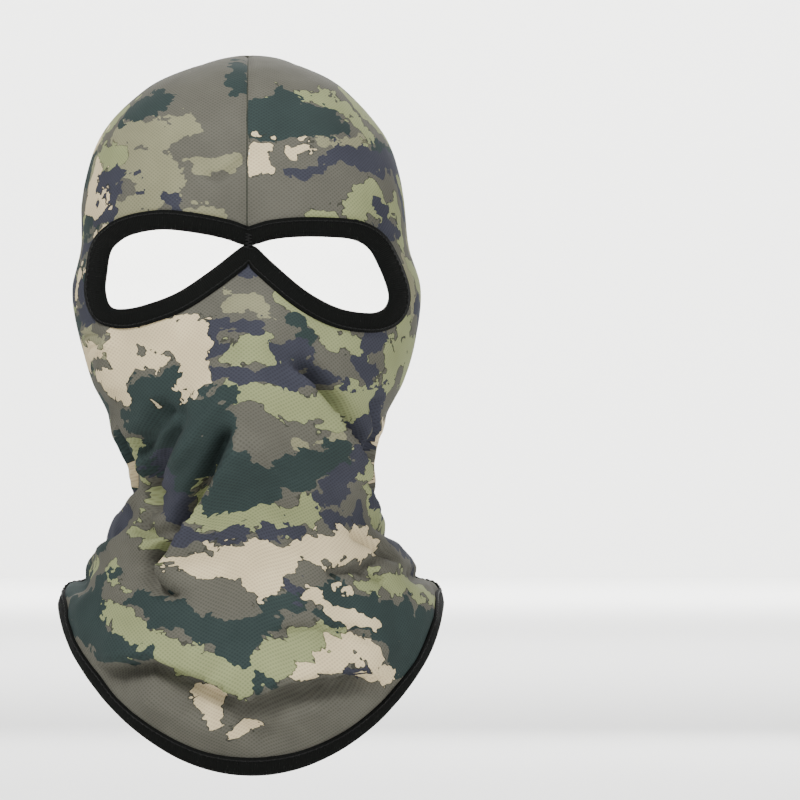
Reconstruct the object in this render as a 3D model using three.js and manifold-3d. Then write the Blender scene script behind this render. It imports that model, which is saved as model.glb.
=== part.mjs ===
// A two-hole face mask (balaclava) as it sits on a head, in millimetres.
// +X is the wearer's left, the face looks along -Y, +Z is up.
// The origin is at the top of the crown, where the wearer's head holds the mask up.
//
// One panel of mesh knit is closed by a single seam, from the brow over the crown to the nape.
// A black tape is folded over the edge of the eye opening, and another over the bottom hem.

import * as THREE from 'three';
import { ParametricGeometry } from 'three/addons/geometries/ParametricGeometry.js';
import { mergeVertices } from 'three/addons/utils/BufferGeometryUtils.js';
import Module from 'manifold-3d';

// ---- Driving dimensions ----

const clothThickness = 0.8;   // the knit, one layer
const clearance = 0.3;        // air left between two pieces that touch on the real mask
const layerEase = 0.8;        // room for the cloth on each side of it, between the legs of a binding
const edgeEase = 1.1;         // from the cloth's cut edge to the fold of the binding over it
const threadEase = 0.9;       // from the inner face of the cloth to the threads of the crown seam
const threadLift = 0.5;       // from a face of a binding to the thread that lies on it
const tapeThickness = 0.8;    // one layer of binding tape
const eyeTapeWidth = 8.6;     // how much of the eye binding shows on the face
const hemTapeWidth = 8.8;     // how much of the hem binding shows
const threadDiameter = 0.7;   // sewing thread
const stitchInset = 1.4;      // from a tape's cloth-side edge to its line of stitches
const tackReach = 3.2;        // how far a bar tack's stitches cross the join they close
const tackPitch = 1.3;        // from one stitch of a bar tack to the next
const bridgeTackLength = 6;   // of the bar tack over the nose bridge
const joinTackLength = 3.5;   // of the tacks where the ends of a binding meet
const overlockWidth = 5.5;    // the overlocked edge inside the crown seam
const overlockPitch = 10;     // from one crossing of its looper thread to the next
const seamStitchGap = 1.5;    // from the overlocked edge to the seam's own line of stitches

const hoodBreadth = 173.6;    // across the ears, through the middle of the cloth
const hoodLength = 203;       // from the brow to the back of the head
const faceDrop = 192;         // from the crown to the point of the chin
const frontDrop = 358;        // from the crown to the lowest point of the hem, at the front

const noseHeight = 19;        // how far the nose tents the cloth out of the face
const noseWidth = 27;         // half the width of that tent
const noseLevel = 146;        // how far its tip is below the crown
const noseRise = 26;          // from its tip up to where it fades out
const noseFall = 44;          // from its tip down to where it fades out

const eyeLevel = 95.5;        // from the crown to the nose bridge, where the two eye holes meet

// ---- The shape of the hood ----

// Rings of the loft, from the crown down. Widths are shares of hoodBreadth, depths of hoodLength,
// levels of faceDrop down to the chin. Below it, drops are shares of the rest, down to the hem.
// The squareness is the power of the superellipse that the front half follows in plan.
const faceRings = {
    crown: { level: 0, halfWidth: 0.002, front: -0.028, side: -0.027, back: -0.026, squareness: 2 },
    cap: { level: 0.0235, halfWidth: 0.131, front: -0.2, side: -0.027, back: 0.145, squareness: 2 },
    dome: { level: 0.0625, halfWidth: 0.24, front: -0.294, side: -0.02, back: 0.252, squareness: 2 },
    top: { level: 0.109, halfWidth: 0.312, front: -0.352, side: -0.013, back: 0.33, squareness: 2.05 },
    hairline: { level: 0.18, halfWidth: 0.386, front: -0.412, side: 0, back: 0.408, squareness: 2.1 },
    forehead: { level: 0.258, halfWidth: 0.432, front: -0.455, side: 0, back: 0.461, squareness: 2.2 },
    brow: { level: 0.375, halfWidth: 0.462, front: -0.489, side: 0, back: 0.497, squareness: 2.4 },
    bridge: { level: 0.498, halfWidth: 0.471, front: -0.466, side: 0, back: 0.5, squareness: 2.6 },
    ear: { level: 0.609, halfWidth: 0.5, front: -0.484, side: 0, back: 0.481, squareness: 2.6 },
    cheek: { level: 0.727, halfWidth: 0.484, front: -0.51, side: -0.02, back: 0.434, squareness: 2.5 },
    mouth: { level: 0.844, halfWidth: 0.448, front: -0.52, side: -0.07, back: 0.384, squareness: 2.4 },
    jaw: { level: 0.922, halfWidth: 0.404, front: -0.528, side: -0.1, back: 0.348, squareness: 2.3 }
};
const neckRings = {
    chin: { frontDrop: 0, sideDrop: -0.04, backDrop: -0.07, halfWidth: 0.392, front: -0.533, side: -0.1,
        back: 0.334, squareness: 2.2 },
    throat: { frontDrop: 0.135, sideDrop: 0.065, backDrop: 0.02, halfWidth: 0.359, front: -0.502,
        side: -0.088, back: 0.317, squareness: 2.2 },
    neck: { frontDrop: 0.25, sideDrop: 0.16, backDrop: 0.1, halfWidth: 0.351, front: -0.456, side: -0.07,
        back: 0.318, squareness: 2.2 },
    collar: { frontDrop: 0.385, sideDrop: 0.255, backDrop: 0.17, halfWidth: 0.383, front: -0.424,
        side: -0.03, back: 0.325, squareness: 2.3 },
    shoulder: { frontDrop: 0.56, sideDrop: 0.35, backDrop: 0.225, halfWidth: 0.446, front: -0.418,
        side: 0.04, back: 0.335, squareness: 2.5 },
    bib: { frontDrop: 0.785, sideDrop: 0.435, backDrop: 0.27, halfWidth: 0.532, front: -0.392, side: 0.11,
        back: 0.35, squareness: 2.8 },
    hem: { frontDrop: 1, sideDrop: 0.497, backDrop: 0.3, halfWidth: 0.562, front: -0.305, side: 0.155,
        back: 0.365, squareness: 3 }
};
const backSquareness = 2.15;  // power of the back half of every ring
const dropRoundness = 0.72;   // how fully the hem's front and back points are rounded

const neckDrop = frontDrop - faceDrop;
const ringValues = [
    ...Object.values(faceRings).map((r) => [
        -faceDrop * r.level, -faceDrop * r.level, -faceDrop * r.level, hoodBreadth * r.halfWidth,
        hoodLength * r.front, hoodLength * r.side, hoodLength * r.back, r.squareness
    ]),
    ...Object.values(neckRings).map((r) => [
        -faceDrop - neckDrop * r.frontDrop, -faceDrop - neckDrop * r.sideDrop, -faceDrop - neckDrop * r.backDrop,
        hoodBreadth * r.halfWidth, hoodLength * r.front, hoodLength * r.side, hoodLength * r.back, r.squareness
    ])
];
const chinRing = Object.keys(faceRings).length;
const lastRing = ringValues.length - 1;
const ringCurve = new THREE.CubicInterpolant(ringValues.map((_, i) => i), ringValues.flat(), ringValues[0].length);

// How far the nose holds the cloth out in front of the plain loft.
function noseTent(x, z) {
    const above = z + noseLevel;
    const fade = above / (above > 0 ? noseRise : noseFall);
    return noseHeight * Math.exp(-((x / noseWidth) ** 2)) * Math.exp(-(fade ** 2));
}

// The middle of the cloth's thickness, at an angle round the head from the nose and a ring number.
function hoodPoint(angle, ring) {
    const [frontZ, sideZ, backZ, halfWidth, frontY, sideY, backY, squareness] = ringCurve.evaluate(ring);
    const facing = Math.cos(angle) > 0;
    const depth = facing ? sideY - frontY : backY - sideY;
    const power = facing ? squareness : backSquareness;
    const across = Math.abs(Math.sin(angle)) / halfWidth;
    const along = Math.abs(Math.cos(angle)) / depth;
    const radius = (across ** power + along ** power) ** (-1 / power);
    const x = radius * Math.sin(angle);
    const drop = Math.max(0, 1 - (x / halfWidth) ** 2) ** dropRoundness;
    const z = sideZ + ((facing ? frontZ : backZ) - sideZ) * drop;
    const y = sideY - radius * Math.cos(angle) - (facing ? noseTent(x, z) * Math.cos(angle) : 0);
    return new THREE.Vector3(x, y, z);
}

// Its unit normal, pointing away from the head.
function hoodNormal(angle, ring) {
    const step = 0.01;
    const round = hoodPoint(angle + step, ring).sub(hoodPoint(angle - step, ring));
    const down = hoodPoint(angle, Math.min(lastRing, ring + step)).sub(hoodPoint(angle, ring - step));
    return down.cross(round).normalize();
}

// A point at a height above the middle of the cloth, outwards where it is positive.
function offHood(angle, ring, height) {
    return hoodPoint(angle, ring).addScaledVector(hoodNormal(angle, ring), height);
}

// The ring number at a level below the crown. It holds down to the chin, where rings are level.
function ringAtLevel(level) {
    let low = 0;
    let high = chinRing;
    for (let halving = 0; halving < 40; halving += 1) {
        const middle = (low + high) / 2;
        if (-ringCurve.evaluate(middle)[0] < level) low = middle;
        else high = middle;
    }
    return low;
}

// ---- Solids ----

// The same surface with shared corners, and without the triangles that closed up to nothing.
function welded(geometry) {
    geometry.deleteAttribute('normal');
    geometry.deleteAttribute('uv');
    const merged = mergeVertices(geometry, 1e-4);
    const corners = merged.index.array;
    const kept = [];
    for (let i = 0; i < corners.length; i += 3) {
        const [a, b, c] = corners.slice(i, i + 3);
        if (a !== b && b !== c && c !== a) kept.push(a, b, c);
    }
    merged.setIndex(kept);
    return merged;
}

// A closed body through rows of points, each row a loop. The end rows are zipped shut,
// each point joined to the one as far from the other end of its row.
function skin(rows) {
    const zip = (row) => row.map((p, i) => p.clone().lerp(row.at(-1 - i), 0.5));
    const closed = [zip(rows[0]), ...rows, zip(rows.at(-1))];
    const around = rows[0].length;
    const along = closed.length - 1;
    return welded(new ParametricGeometry((u, v, target) => {
        target.copy(closed[Math.round(v * along)][Math.round(u * around) % around]);
    }, around, along));
}

const wasm = await Module();
wasm.setup();

function toManifold(geometry) {
    return new wasm.Manifold(new wasm.Mesh({
        numProp: 3,
        vertProperties: new Float32Array(geometry.attributes.position.array),
        triVerts: new Uint32Array(geometry.index.array)
    }));
}

function fromManifold(solid) {
    const { vertProperties, triVerts } = solid.getMesh();
    const geometry = new THREE.BufferGeometry();
    geometry.setAttribute('position', new THREE.BufferAttribute(vertProperties, 3));
    geometry.setIndex(new THREE.BufferAttribute(triVerts, 1));
    return geometry;
}

// ---- The eye opening ----

// Points on the face are laid out flat: millimetres round the head from the nose, and below the crown.
const faceRadius = hoodLength * 0.48;           // of the head across the eyes, for that layout
const eyeSteps = 66;                            // sections of the binding round the whole opening
const leanReach = 5;                            // sections on each side that its lean is evened over

// The edge of the left eye hole, from the bridge over the eye and back under it:
// degrees round the head from the nose, and millimetres above the bridge.
const eyeEdge = [
    [1.8, 0.4], [4.3, 2.7], [10, 4.9], [18, 6.3], [27, 6.6], [34, 5.2], [39.5, 1], [43, -6], [45, -14],
    [45.5, -22], [44, -29], [39, -32.6], [32.5, -32.4], [26, -29.3], [19, -23.2], [12.5, -16], [6.5, -8],
    [2, -1.4]
];
const foldGap = clearance / 2;                  // from the bridge to each of the two folds that meet there
const holeEdge = eyeEdge.map(([degrees, up]) => [THREE.MathUtils.degToRad(degrees) * faceRadius, eyeLevel - up]);
const otherHoleEdge = holeEdge.map(([round, level]) => [-round, level]).reverse();
const eyeLoop = new THREE.CatmullRomCurve3([
    [0, eyeLevel - foldGap], ...holeEdge, [0, eyeLevel + foldGap], ...otherHoleEdge
].map(([round, level]) => new THREE.Vector3(round, level, 0)), true);

const onFace = (point, height) => offHood(point.x / faceRadius, ringAtLevel(point.y), height);

// The fold line of the binding and the way its legs lean from there, in the flat layout.
const eyeFold = Array.from({ length: eyeSteps }, (_, i) => eyeLoop.getPointAt(i / eyeSteps));
const eyeAway = eyeFold.map((_, i) => {
    const { x, y } = eyeLoop.getTangentAt(i / eyeSteps);
    return new THREE.Vector3(y, -x, 0);
});
const eyeLean = eyeAway.map((_, i) => {
    const sum = new THREE.Vector3();
    for (let j = -leanReach; j <= leanReach; j += 1) sum.add(eyeAway[(i + j + eyeSteps) % eyeSteps]);
    return sum.normalize();
});
const eyePoint = (i, reach, height) => onFace(eyeFold[i].clone().addScaledVector(eyeLean[i], reach), height);

// ---- The hood panel ----

// Columns of the panel round the head, closer together across the face, from the nape round to it again.
const faceColumns = 28;
const backColumns = 16;
const faceSpan = THREE.MathUtils.degToRad(77);  // from the nose to the last close column
const columnAngles = [
    ...Array.from({ length: faceColumns }, (_, i) => faceSpan * (2 * i / faceColumns - 1)),
    ...Array.from({ length: backColumns }, (_, i) => faceSpan + 2 * (Math.PI - faceSpan) * i / backColumns)
];
const rowsPerRing = [1, 1, 2, 2, 2, 2, 3, 3, 2, 2, 1, 1, 1, 1, 1, 1, 1, 2];
const poleRing = 0.1;                           // where the first row lies, just off the top of the crown
const panelRings = rowsPerRing.flatMap((count, ring) =>
    Array.from({ length: count }, (_, i) => Math.max(poleRing, ring + i / count)));
const foldInset = tapeThickness + edgeEase;     // from the fold of a binding to the cloth's edge

// The ring number at a distance up the cloth from the fold of the hem.
function ringAboveHem(angle, distance) {
    const step = 0.2;
    const run = hoodPoint(angle, lastRing).distanceTo(hoodPoint(angle, lastRing - step));
    return lastRing - distance * step / run;
}

function hoodPanelGeometry() {
    const row = (ringOf, height) => columnAngles.map((angle) => offHood(angle, ringOf(angle), height));
    const face = (height) => [
        ...panelRings.map((ring) => row(() => ring, height)),
        row((angle) => ringAboveHem(angle, foldInset), height)
    ];
    return skin([...face(-clothThickness / 2), ...face(clothThickness / 2).reverse()]);
}

// A prism through the face, as wide as the opening in the cloth.
function eyeCutterGeometry() {
    const edge = eyeFold.map((_, i) => eyePoint(i, foldInset, 0));
    const outline = new THREE.Shape(edge.map((p) => new THREE.Vector2(p.x, p.z)));
    const prism = new THREE.ExtrudeGeometry(outline, { depth: hoodLength, steps: 1, bevelEnabled: false });
    return welded(prism.rotateX(Math.PI / 2).translate(0, -hoodLength * 0.1, 0));
}

// ---- Bindings ----

const legHeight = clothThickness / 2 + layerEase;       // from the middle of the cloth to a leg's inner face
const bindingHeight = legHeight + tapeThickness;        // and to its outer face

// The section of a binding: how far from its fold, and how high above the middle of the cloth.
const bindingSection = (width) => [
    [width, -legHeight], [width / 2, -legHeight], [tapeThickness, -legHeight], [tapeThickness, -legHeight / 2],
    [tapeThickness, legHeight / 2], [tapeThickness, legHeight], [width / 2, legHeight], [width, legHeight],
    [width, bindingHeight], [width / 2, bindingHeight], [tapeThickness / 2, bindingHeight],
    [0, bindingHeight / 2], [0, -bindingHeight / 2], [tapeThickness / 2, -bindingHeight],
    [width / 2, -bindingHeight], [width, -bindingHeight]
];

// A section carried round the eye opening. It starts and ends at the middle of the upper edge.
function roundTheEyes(section) {
    const rows = [...eyeFold.keys(), 0].map((i) => section.map(([reach, height]) => eyePoint(i, reach, height)));
    rows[0].forEach((p) => { p.x += clearance / 2; });
    rows.at(-1).forEach((p) => { p.x -= clearance / 2; });
    return skin(rows);
}

// A section carried round the hem, from nape to nape. Its columns are the panel's own, so that they fit.
const nape = faceColumns + backColumns / 2;
const hemAngles = columnAngles.map((_, i) => columnAngles[(nape + i) % columnAngles.length]);
hemAngles.push(hemAngles[0]);
const hemPoint = (angle, reach, height) => offHood(angle, ringAboveHem(angle, reach), height);

function roundTheHem(section) {
    const rows = hemAngles.map((angle) => section.map(([reach, height]) => hemPoint(angle, reach, height)));
    rows[0].forEach((p) => { p.x -= clearance / 2; });
    rows.at(-1).forEach((p) => { p.x += clearance / 2; });
    return skin(rows);
}

// ---- Threads ----

const threadHeight = bindingHeight + threadLift + threadDiameter / 2;           // on a binding
const seamThreadHeight = clothThickness / 2 + threadEase + threadDiameter / 2;  // on the bare cloth
const threadSides = 5;

// The section of a sewing thread that runs along a binding or a seam.
const threadSection = (reach, height) => Array.from({ length: threadSides }, (_, i) => {
    const turn = 2 * Math.PI * i / threadSides;
    return [reach + threadDiameter / 2 * Math.cos(turn), height + threadDiameter / 2 * Math.sin(turn)];
});

// A thread that zigzags through a run of points.
function zigzagGeometry(points, stepsPerStitch) {
    const section = new THREE.Shape();
    section.absarc(0, 0, threadDiameter / 2, 0, 2 * Math.PI);
    return new THREE.ExtrudeGeometry(section, {
        steps: stepsPerStitch * (points.length - 1), curveSegments: 2, bevelEnabled: false,
        extrudePath: new THREE.CatmullRomCurve3(points)
    });
}

// A bar tack across a join. The place turns distances along and across the tack into a point.
function tackGeometry(place, length) {
    const count = Math.round(length / tackPitch);
    return zigzagGeometry(Array.from({ length: count + 1 }, (_, i) =>
        place((i / count - 0.5) * length, (i % 2 ? 0.5 : -0.5) * tackReach)), 3);
}

const bridgePlace = (along, across) =>
    onFace(new THREE.Vector3(along, eyeLevel - across, 0), threadHeight);
const browPlace = (along, across) =>
    onFace(new THREE.Vector3(across, eyeLevel - eyeTapeWidth / 2 - along, 0), threadHeight);
const napePlace = (along, across) =>
    hemPoint(Math.PI, hemTapeWidth / 2 + along, threadHeight).add(new THREE.Vector3(across, 0, 0));

// The crown seam's middle line inside the hood, from the brow over the crown to the nape, in the
// panel's own rows: each stop is an angle and a ring number.
const browRing = ringAtLevel(eyeLevel - eyeTapeWidth - overlockPitch);
const napeRing = ringAboveHem(Math.PI, hemTapeWidth + overlockPitch);
const seamStops = [
    ...panelRings.filter((ring) => ring < browRing).map((ring) => [0, ring]).reverse(),
    ...panelRings.filter((ring) => ring < napeRing).map((ring) => [Math.PI, ring])
];
const seamPoint = (stop, sideways, height) => offHood(...stop, -height).add(new THREE.Vector3(sideways, 0, 0));

function overlockGeometry() {
    const middle = new THREE.CurvePath();
    const corners = seamStops.map((stop) => seamPoint(stop, 0, seamThreadHeight));
    corners.slice(1).forEach((corner, i) => middle.add(new THREE.LineCurve3(corners[i], corner)));
    const points = middle.getSpacedPoints(Math.round(2 * middle.getLength() / overlockPitch));
    points.forEach((p, i) => { p.x += (i % 2 ? 0.5 : -0.5) * overlockWidth; });
    return zigzagGeometry(points, 2);
}

function seamStitchGeometry() {
    const section = threadSection(overlockWidth / 2 + seamStitchGap, seamThreadHeight);
    return skin(seamStops.map((stop) => section.map(([aside, height]) => seamPoint(stop, aside, height))));
}

// ---- The assembly ----

const cloth = new THREE.MeshStandardMaterial({ name: 'printed_mesh_knit', color: '#7d8068', roughness: 0.9 });
const tape = new THREE.MeshStandardMaterial({ name: 'binding_tape', color: '#1b1d1c', roughness: 0.95 });
const thread = new THREE.MeshStandardMaterial({ name: 'sewing_thread', color: '#232524', roughness: 0.8 });
const seamThread = new THREE.MeshStandardMaterial({ name: 'overlock_thread', color: '#e4e4dc', roughness: 0.8 });

const mask = new THREE.Group();
const add = (name, geometry, material) => {
    const mesh = new THREE.Mesh(geometry, material);
    mesh.name = name;
    mask.add(mesh);
};

const eyeCut = toManifold(hoodPanelGeometry()).subtract(toManifold(eyeCutterGeometry()));
const eyeStitch = eyeTapeWidth - stitchInset;
const hemStitch = hemTapeWidth - stitchInset;

add('hood_panel', fromManifold(eyeCut), cloth);
add('eye_binding', roundTheEyes(bindingSection(eyeTapeWidth)), tape);
add('hem_binding', roundTheHem(bindingSection(hemTapeWidth)), tape);
add('crown_seam_overlock_thread', overlockGeometry(), seamThread);
add('crown_seam_needle_thread', seamStitchGeometry(), seamThread);
add('eye_binding_needle_thread', roundTheEyes(threadSection(eyeStitch, threadHeight)), thread);
add('eye_binding_bobbin_thread', roundTheEyes(threadSection(eyeStitch, -threadHeight)), thread);
add('hem_binding_needle_thread', roundTheHem(threadSection(hemStitch, threadHeight)), thread);
add('hem_binding_bobbin_thread', roundTheHem(threadSection(hemStitch, -threadHeight)), thread);
add('nose_bridge_tack', tackGeometry(bridgePlace, bridgeTackLength), thread);
add('brow_join_tack', tackGeometry(browPlace, joinTackLength), thread);
add('hem_join_tack', tackGeometry(napePlace, joinTackLength), thread);

export default mask;
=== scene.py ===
import math
import bmesh
import bpy
import numpy as np
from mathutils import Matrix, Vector, noise
from mathutils.bvhtree import BVHTree


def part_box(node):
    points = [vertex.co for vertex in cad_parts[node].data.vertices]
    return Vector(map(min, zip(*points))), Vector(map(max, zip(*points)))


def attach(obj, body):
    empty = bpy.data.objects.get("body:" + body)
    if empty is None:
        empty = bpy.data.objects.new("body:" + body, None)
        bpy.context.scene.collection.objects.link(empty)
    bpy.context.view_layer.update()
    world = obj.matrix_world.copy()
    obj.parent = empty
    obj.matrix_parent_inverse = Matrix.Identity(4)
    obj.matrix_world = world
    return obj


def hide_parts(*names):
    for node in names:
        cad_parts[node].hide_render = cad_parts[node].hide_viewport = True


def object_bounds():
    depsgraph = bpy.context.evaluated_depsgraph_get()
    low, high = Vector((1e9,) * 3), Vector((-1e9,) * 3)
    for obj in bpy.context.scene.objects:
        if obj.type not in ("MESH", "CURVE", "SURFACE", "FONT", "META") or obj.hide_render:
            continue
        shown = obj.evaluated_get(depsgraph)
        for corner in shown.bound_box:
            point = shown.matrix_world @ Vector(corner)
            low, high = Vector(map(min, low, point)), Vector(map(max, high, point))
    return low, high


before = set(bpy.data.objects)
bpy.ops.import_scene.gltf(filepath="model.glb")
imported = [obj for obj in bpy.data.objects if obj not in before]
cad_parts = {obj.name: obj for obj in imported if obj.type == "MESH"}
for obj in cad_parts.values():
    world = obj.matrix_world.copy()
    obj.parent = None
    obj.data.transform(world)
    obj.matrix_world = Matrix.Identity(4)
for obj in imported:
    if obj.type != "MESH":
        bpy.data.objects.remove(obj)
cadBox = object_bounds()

# A stretch balaclava: one printed knit hood, a black binding round the eyes, another round the hem.
# Lengths below are in millimetres; mm turns them into Blender's metres.
mm = 0.001

camera = {"lens": 840, "place": (0.075, -9.333, -0.172)}
stage = {"floorDrop": 0.03, "size": 16, "backdrop": 13.5, "colour": "f4f4f2"}
lights = [
    # name, place, what it is aimed at, size, watts
    ("keyLight", (-0.9, -2.0, 1.9), (0, 0, -0.15), 0.9, 150),
    ("fillLight", (1.8, -1.9, 0.3), (0, 0, -0.15), 1.2, 42),
    ("topLight", (0.0, 0.3, 2.0), (0, 0, -0.15), 1.2, 40),
    ("backLight", (0.5, 2.4, 0.9), (0, 0, -0.15), 1.5, 45),
    ("floorLight", (0.2, 6.5, 3.6), (0.2, 6.5, -1), 5.0, 640),
    ("backdropLight", (0.2, 10.8, 2.6), (0.2, stage["backdrop"], 0), 2.0, 420),
]
# A small lamp under the crown brightens the bare white inside, as a pale head under the cloth would.
insideLamp = {"place": (0, -0.02, -0.06), "size": 0.02, "watts": 0.75}
skyBrightness = 0.46


def toLinear(hexColour):
    channels = [int(hexColour[i:i + 2], 16) / 255 for i in (0, 2, 4)]
    linear = [c / 12.92 if c <= 0.04045 else ((c + 0.055) / 1.055) ** 2.4 for c in channels]
    return (*linear, 1)


def addNode(tree, kind, inputs=None, **settings):
    node = tree.nodes.new(kind)
    for name, value in settings.items():
        setattr(node, name, value)
    for name, value in (inputs or {}).items():
        if isinstance(value, bpy.types.NodeSocket):
            tree.links.new(value, node.inputs[name])
        else:
            node.inputs[name].default_value = value
    return node


def newMaterial(name):
    material = bpy.data.materials.new(name)
    material.use_nodes = True
    material.node_tree.nodes.clear()
    return material, material.node_tree


def aim(obj, target):
    obj.rotation_euler = (Vector(target) - obj.location).to_track_quat("-Z", "Y").to_euler()


def buildCamera():
    data = bpy.data.cameras.new("camera")
    data.lens = camera["lens"]
    obj = bpy.data.objects.new("camera", data)
    bpy.context.scene.collection.objects.link(obj)
    obj.location = camera["place"]
    obj.rotation_euler = (math.pi / 2, 0, 0)
    bpy.context.scene.camera = obj


def flatBoard(name, material, corners):
    bm = bmesh.new()
    bm.faces.new([bm.verts.new(corner) for corner in corners])
    mesh = bpy.data.meshes.new(name)
    bm.to_mesh(mesh)
    bm.free()
    mesh.materials.append(material)
    obj = bpy.data.objects.new(name, mesh)
    bpy.context.scene.collection.objects.link(obj)


def buildStage():
    # Matt studio paper: pale, with no gloss at all.
    paper, tree = newMaterial("matt_studio_paper")
    grain = addNode(tree, "ShaderNodeTexNoise", {"Scale": 40.0})
    bump = addNode(tree, "ShaderNodeBump", {"Strength": 0.02, "Height": grain.outputs["Fac"]})
    shader = addNode(tree, "ShaderNodeBsdfPrincipled", {
        "Base Color": toLinear(stage["colour"]), "Roughness": 0.9, "Normal": bump.outputs["Normal"]})
    addNode(tree, "ShaderNodeOutputMaterial", {"Surface": shader.outputs["BSDF"]})
    half = stage["size"]
    low = cadBox[0][2] - stage["floorDrop"]
    back = stage["backdrop"]
    floor = [(-half, -half, low), (half, -half, low), (half, half, low), (-half, half, low)]
    wall = [(-half, back, low), (half, back, low), (half, back, half), (-half, back, half)]
    flatBoard("floor", paper, floor)
    flatBoard("backdrop", paper, wall)
    for name, place, target, size, watts in lights:
        data = bpy.data.lights.new(name, "AREA")
        data.shape = "DISK"
        data.size = size
        data.energy = watts
        obj = bpy.data.objects.new(name, data)
        bpy.context.scene.collection.objects.link(obj)
        obj.location = place
        obj.visible_camera = False
        aim(obj, target)
    inside = bpy.data.lights.new("insideLight", "POINT")
    inside.energy = insideLamp["watts"]
    inside.shadow_soft_size = insideLamp["size"]
    obj = bpy.data.objects.new("insideLight", inside)
    bpy.context.scene.collection.objects.link(obj)
    obj.location = insideLamp["place"]
    world = bpy.data.worlds.new("studio")
    world.use_nodes = True
    sky = world.node_tree.nodes["Background"]
    sky.inputs["Color"].default_value = (1, 1, 1, 1)
    sky.inputs["Strength"].default_value = skyBrightness
    bpy.context.scene.world = world


buildCamera()
buildStage()
print("stage: camera, floor, backdrop and lights")


hood = {
    "breadth": 173.6, "length": 203, "faceDrop": 192, "frontDrop": 358,
    "backSquareness": 2.15, "dropRoundness": 0.72,
    "noseHeight": 19, "noseWidth": 27, "noseLevel": 146, "noseRise": 26, "noseFall": 44,
    "columns": 216, "rows": 200, "faceShare": 0.72,
    "thickness": 0.6, "cutInset": 2.0, "hemRows": 7,
}
# Each ring: level, half width, front, side, back, squareness. Levels are shares of the face drop,
# widths of the breadth, and depths of the length.
faceRings = [
    (0, 0.002, -0.028, -0.027, -0.026, 2), (0.0235, 0.131, -0.2, -0.027, 0.145, 2),
    (0.0625, 0.24, -0.294, -0.02, 0.252, 2), (0.109, 0.312, -0.352, -0.013, 0.33, 2.05),
    (0.18, 0.386, -0.412, 0, 0.408, 2.1), (0.258, 0.432, -0.455, 0, 0.461, 2.2),
    (0.375, 0.462, -0.489, 0, 0.497, 2.4), (0.498, 0.471, -0.466, 0, 0.5, 2.6),
    (0.609, 0.5, -0.484, 0, 0.481, 2.6), (0.727, 0.484, -0.51, -0.02, 0.434, 2.5),
    (0.844, 0.448, -0.52, -0.07, 0.384, 2.4), (0.922, 0.404, -0.528, -0.1, 0.348, 2.3),
]
# Below the chin: how far the front, side and back have dropped towards the hem, then as above.
neckRings = [
    (0, -0.04, -0.07, 0.392, -0.533, -0.1, 0.334, 2.2),
    (0.135, 0.065, 0.02, 0.359, -0.502, -0.088, 0.317, 2.2),
    (0.25, 0.16, 0.1, 0.351, -0.456, -0.07, 0.318, 2.2),
    (0.385, 0.255, 0.17, 0.383, -0.424, -0.03, 0.325, 2.3),
    (0.56, 0.35, 0.225, 0.446, -0.418, 0.04, 0.335, 2.5),
    (0.785, 0.435, 0.27, 0.532, -0.392, 0.11, 0.35, 2.8),
    (1, 0.497, 0.3, 0.562, -0.305, 0.155, 0.365, 3),
]
# How far the worn cloth leans to one side: height, sideways shift.
lean = [(-358, 1.5), (-300, 0.8), (-267, 0), (-254, 1.4), (-242, -1.8), (-230, 0.6), (-217, 2),
        (-190, -1.2), (-150, -0.8), (-110, -1.8), (-75, -3.4), (-30, -3.6), (-12, -2), (0, 0)]

# How much wider or narrower its loose folds leave it than the rings are: height, added to each side.
spread = [(-300, 0), (-267, -2.4), (-254, 0.5), (-242, 3.4), (-230, -2.5), (-217, -3), (-205, -2.7),
          (-188, 0)]


def ringTable():
    face, drop, neck = hood["faceDrop"], hood["frontDrop"], hood["frontDrop"] - hood["faceDrop"]
    rows = [[-level * face] * 3 + [wide, front, side, back, square]
            for level, wide, front, side, back, square in faceRings]
    rows += [[-(face + share * neck) for share in ring[:3]] + list(ring[3:]) for ring in neckRings]
    table = np.array(rows)
    table[:, 3] *= hood["breadth"]
    table[:, 4:7] *= hood["length"]
    return table


rings = ringTable()


def smoothBetween(four, t):
    # A smooth curve through four points, at share t of the way from the second to the third.
    a, b, c, d = four
    bend = (2 * a - 5 * b + 4 * c - d) * t ** 2
    twist = (3 * b - a - 3 * c + d) * t ** 3
    return 0.5 * (2 * b + (c - a) * t + bend + twist)


def ringAt(ring):
    # A smooth curve through the rings, straight at both ends.
    padded = np.vstack([2 * rings[0] - rings[1], rings, 2 * rings[-1] - rings[-2]])
    i = np.clip(np.floor(ring).astype(int), 0, len(rings) - 2)
    t = (ring - i)[..., None]
    return smoothBetween([padded[i + k] for k in range(4)], t)


def hoodPoint(angle, ring):
    # Angle 0 is the middle of the face, and a quarter turn is the left ear as worn.
    value = ringAt(ring)
    frontZ, sideZ, backZ, wide, front, side, back, square = np.moveaxis(value, -1, 0)
    across, along = np.sin(angle), np.cos(angle)
    facing = along > 0
    power = np.where(facing, square, hood["backSquareness"])
    depth = np.maximum(np.where(facing, side - front, back - side), 0.01)
    wide = np.maximum(wide, 0.01)
    radius = ((np.abs(across) / wide) ** power + (np.abs(along) / depth) ** power) ** (-1 / power)
    x = radius * across
    drop = np.maximum(1 - (x / wide) ** 2, 0) ** hood["dropRoundness"]
    z = sideZ + (np.where(facing, frontZ, backZ) - sideZ) * drop
    above = z + hood["noseLevel"]
    reach = np.where(above > 0, hood["noseRise"], hood["noseFall"])
    tent = hood["noseHeight"] * np.exp(-(x / hood["noseWidth"]) ** 2) * np.exp(-(above / reach) ** 2)
    y = side - radius * along - np.where(facing, tent * along, 0)
    return np.stack([x, y, z], -1)


def atLevel(table, z):
    levels, values = zip(*table)
    return np.interp(z, levels, values)


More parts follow.
